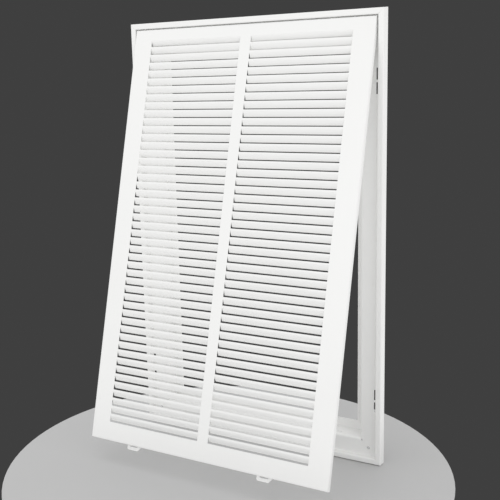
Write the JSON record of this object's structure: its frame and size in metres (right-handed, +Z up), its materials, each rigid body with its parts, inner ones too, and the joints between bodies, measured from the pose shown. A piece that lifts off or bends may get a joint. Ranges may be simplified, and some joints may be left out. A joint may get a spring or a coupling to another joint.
{
  "type": "return air filter grille",
  "caption": "White stamped-steel return air grille: a wall frame with a louvred filter door that is hinged along the top and held shut by spring clips.",
  "frame": {"origin": "centre of the wall opening, in the plane of the wall that the frame's edge rests on", "axes": "+Z up, +X to the right as seen from the room, +Y into the wall; the front faces -Y"},
  "size_m": [0.4232, 0.2179, 0.6772],
  "materials": {
    "frame_enamel": "satin white powder coat",
    "door_enamel": "satin white powder coat",
    "clip_enamel": "satin white powder coat",
    "key_zinc": "zinc plated",
    "hinge_zinc": "zinc plated",
    "pin_steel": "bright steel",
    "guide_zinc": "zinc plated",
    "spring_steel": "bright spring steel",
    "rivet_aluminium": "bright"
  },
  "bodies": {
    "frame": {"frame_top": "frame_enamel", "frame_bottom": "frame_enamel", "frame_left": "frame_enamel", "frame_right": "frame_enamel", "corner_key_top_left": "key_zinc", "corner_key_top_right": "key_zinc", "corner_key_bottom_left": "key_zinc", "corner_key_bottom_right": "key_zinc", "hinge_bracket_left": "hinge_zinc", "hinge_bracket_right": "hinge_zinc"},
    "door": {"door_panel": "door_enamel", "hinge_leaf_left": "hinge_zinc", "hinge_leaf_right": "hinge_zinc", "hinge_pin_left": "pin_steel", "hinge_pin_right": "pin_steel", "latch_guide_left": "guide_zinc", "latch_guide_right": "guide_zinc", "latch_spring_left": "spring_steel", "latch_spring_right": "spring_steel", "latch_rivets": "rivet_aluminium"},
    "clip_left": {"latch_clip_left": "clip_enamel"},
    "clip_right": {"latch_clip_right": "clip_enamel"}
  },
  "joints": [
    {"name": "door_hinge", "type": "hinge", "parent": "frame", "child": "door", "pos_m": [0, -0.01102, 0.32392], "axis": [-1, 0, 0], "range_deg": [-16, 100]},
    {"name": "clip_left_slide", "type": "slide", "parent": "door", "child": "clip_left", "axis": [0, 0.2756, 0.9613], "range_m": [0, 0.0062], "stiffness_N_per_m": 300, "springref_m": -0.004, "deforming": ["latch_spring_left"]},
    {"name": "clip_right_slide", "type": "slide", "parent": "door", "child": "clip_right", "axis": [0, 0.2756, 0.9613], "range_m": [0, 0.0062], "stiffness_N_per_m": 300, "springref_m": -0.004, "deforming": ["latch_spring_right"]}
  ]
}
